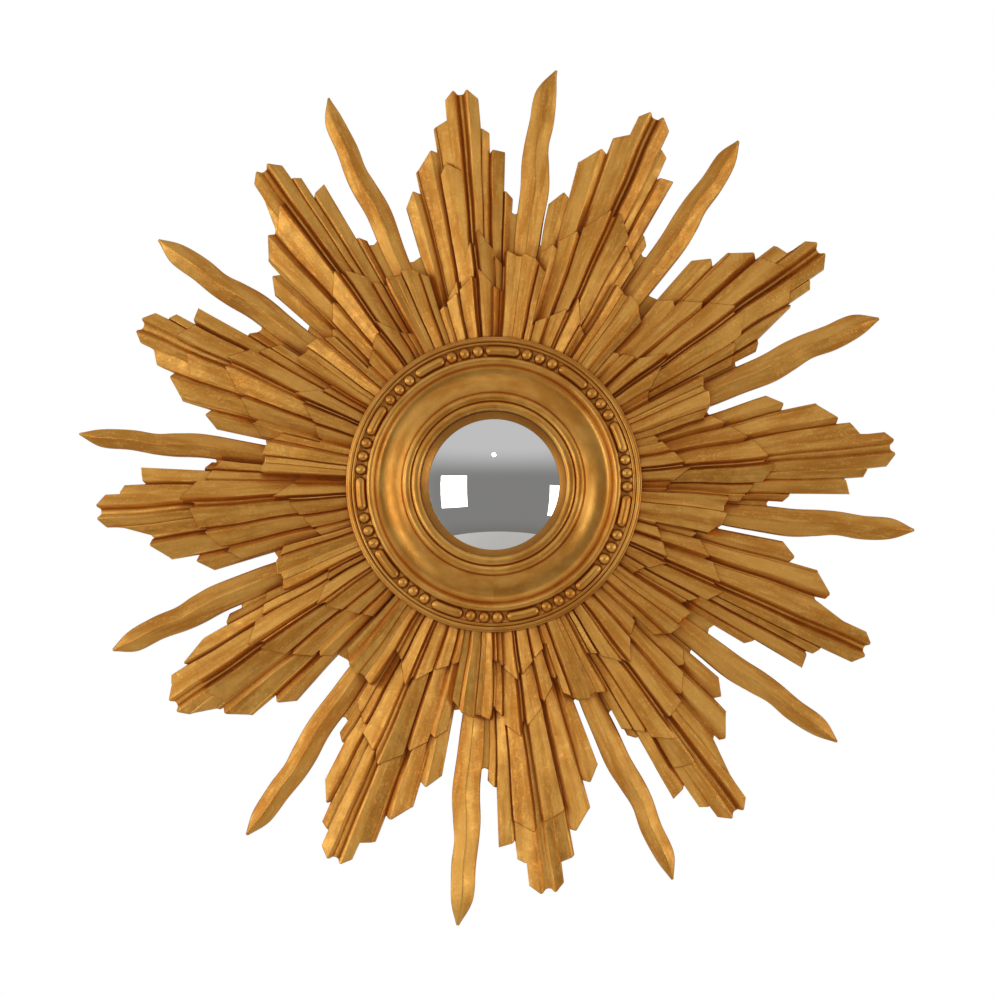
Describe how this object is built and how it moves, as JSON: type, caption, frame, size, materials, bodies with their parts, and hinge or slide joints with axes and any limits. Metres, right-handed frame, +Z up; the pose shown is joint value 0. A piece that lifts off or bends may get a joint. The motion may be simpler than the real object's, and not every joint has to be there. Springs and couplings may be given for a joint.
{
  "type": "sunburst wall mirror",
  "caption": "Carved gilt-wood sunburst wall mirror with stepped ray bundles and wavy flames around a turned bead-and-reel frame that holds a convex looking-glass.",
  "frame": {"origin": "centre of the flat back, on the wall, on the axis of the round frame and glass", "axes": "+Y out of the back into the wall, the front faces -Y, +Z up"},
  "size_m": [0.741, 0.0426, 0.7588],
  "materials": {
    "carved_gilt": "satin antique gold leaf over red clay ground, on hand-carved wood",
    "turned_gilt": "burnished antique gold leaf over red clay ground, on turned wood",
    "looking_glass": "polished silvered glass"
  },
  "bodies": {
    "root": {"sunburst": "carved_gilt", "round_frame": "turned_gilt", "mirror_glass": "looking_glass"}
  },
  "joints": []
}
